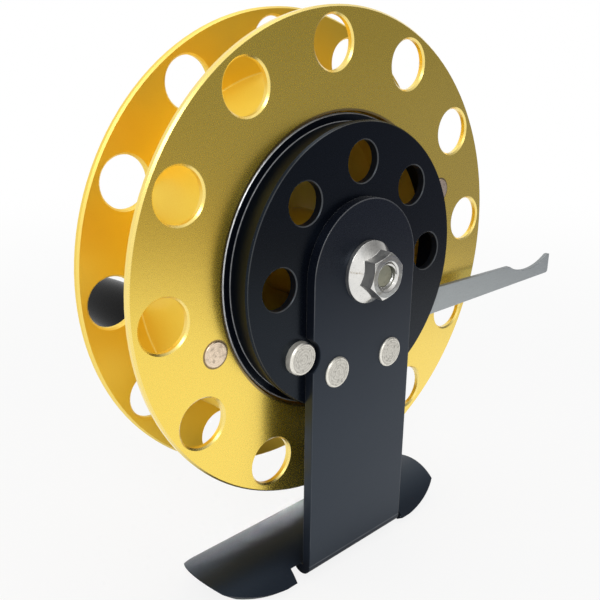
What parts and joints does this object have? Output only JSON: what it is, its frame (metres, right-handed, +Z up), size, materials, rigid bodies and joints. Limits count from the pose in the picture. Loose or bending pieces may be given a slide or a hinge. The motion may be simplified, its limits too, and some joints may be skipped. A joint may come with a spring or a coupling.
{
  "type": "ice fishing reel",
  "caption": "Open line reel: a drilled spool with turning knobs on a bearing axle, hung on a folded sheet stand with a saddle foot, and a sprung brake lever under a round cover.",
  "frame": {"origin": "on the axis of the rod that the foot's saddle sits on, straight below the axle", "axes": "+X along the rod, towards the lever's tip; +Y along the axle, from the stand's side to the handles' side; +Z up, from the foot to the spool"},
  "size_m": [0.1241, 0.0531, 0.1116],
  "materials": {
    "black_sheet": "black satin anodised sheet",
    "black_cover": "black anodised, turned, with bright cut edges",
    "gold_anodised": "gold anodised, fine bead blasted, bright chamfers",
    "rivet_steel": "turned faces",
    "plated_steel": "bright zinc plated",
    "bearing_steel": "ground",
    "spring_steel": "drawn wire and stamped sheet",
    "lever_steel": "satin grey, blanked edges",
    "friction_pad": "moulded friction lining",
    "knob_plastic": "black moulded, satin",
    "cage_brass": "machined"
  },
  "bodies": {
    "stand": {"stand": "black_sheet", "side_cover": "black_cover", "cover_rivets": "rivet_steel", "lever_pivot": "rivet_steel", "pivot_washer": "rivet_steel", "lever_spring": "spring_steel", "pivot_clip": "spring_steel", "axle_bolt": "plated_steel", "axle_nut": "plated_steel", "front_spacer": "rivet_steel", "bearing_spacer": "rivet_steel", "rear_spacer": "rivet_steel", "front_inner_race": "bearing_steel", "rear_inner_race": "bearing_steel"},
    "lever": {"brake_lever": "lever_steel", "brake_shoe": "friction_pad", "shoe_rivets": "rivet_steel"},
    "spool": {"front_flange": "gold_anodised", "rear_flange": "gold_anodised", "spool_drum": "gold_anodised", "spool_hub": "gold_anodised", "hub_screws": "plated_steel", "brake_ring": "bearing_steel", "front_outer_race": "bearing_steel", "rear_outer_race": "bearing_steel", "bearing_shields": "spring_steel", "handle_posts": "rivet_steel", "knob_washers": "plated_steel", "knob_screws": "plated_steel"},
    "knob_a": {"knob_a": "knob_plastic"},
    "knob_b": {"knob_b": "knob_plastic"},
    "front_ball_set": {"front_balls": "bearing_steel", "front_cage": "cage_brass"},
    "rear_ball_set": {"rear_balls": "bearing_steel", "rear_cage": "cage_brass"}
  },
  "joints": [
    {"name": "spool_spin", "type": "hinge", "parent": "stand", "child": "spool", "pos_m": [0, 0, 0.07], "axis": [0, 1, 0], "continuous": true},
    {"name": "lever_swing", "type": "hinge", "parent": "stand", "child": "lever", "pos_m": [-0.0159, 0, 0.0561], "axis": [0, 1, 0], "range_deg": [0, 5], "stiffness_Nm_per_rad": 0.2, "springref_deg": -28.65, "deforming": ["lever_spring"]},
    {"name": "knob_a_spin", "type": "hinge", "parent": "spool", "child": "knob_a", "pos_m": [0.03086, 0.03, 0.08081], "axis": [0, 1, 0], "continuous": true},
    {"name": "knob_b_spin", "type": "hinge", "parent": "spool", "child": "knob_b", "pos_m": [-0.03086, 0.03, 0.05919], "axis": [0, 1, 0], "continuous": true},
    {"name": "front_balls_roll", "type": "hinge", "parent": "stand", "child": "front_ball_set", "pos_m": [0, 0, 0.07], "axis": [0, 1, 0], "continuous": true},
    {"name": "rear_balls_roll", "type": "hinge", "parent": "stand", "child": "rear_ball_set", "pos_m": [0, 0, 0.07], "axis": [0, 1, 0], "continuous": true}
  ],
  "couplings": [
    {"joint": "front_balls_roll", "follows": "spool_spin", "ratio": 0.6111},
    {"joint": "rear_balls_roll", "follows": "spool_spin", "ratio": 0.6111}
  ]
}
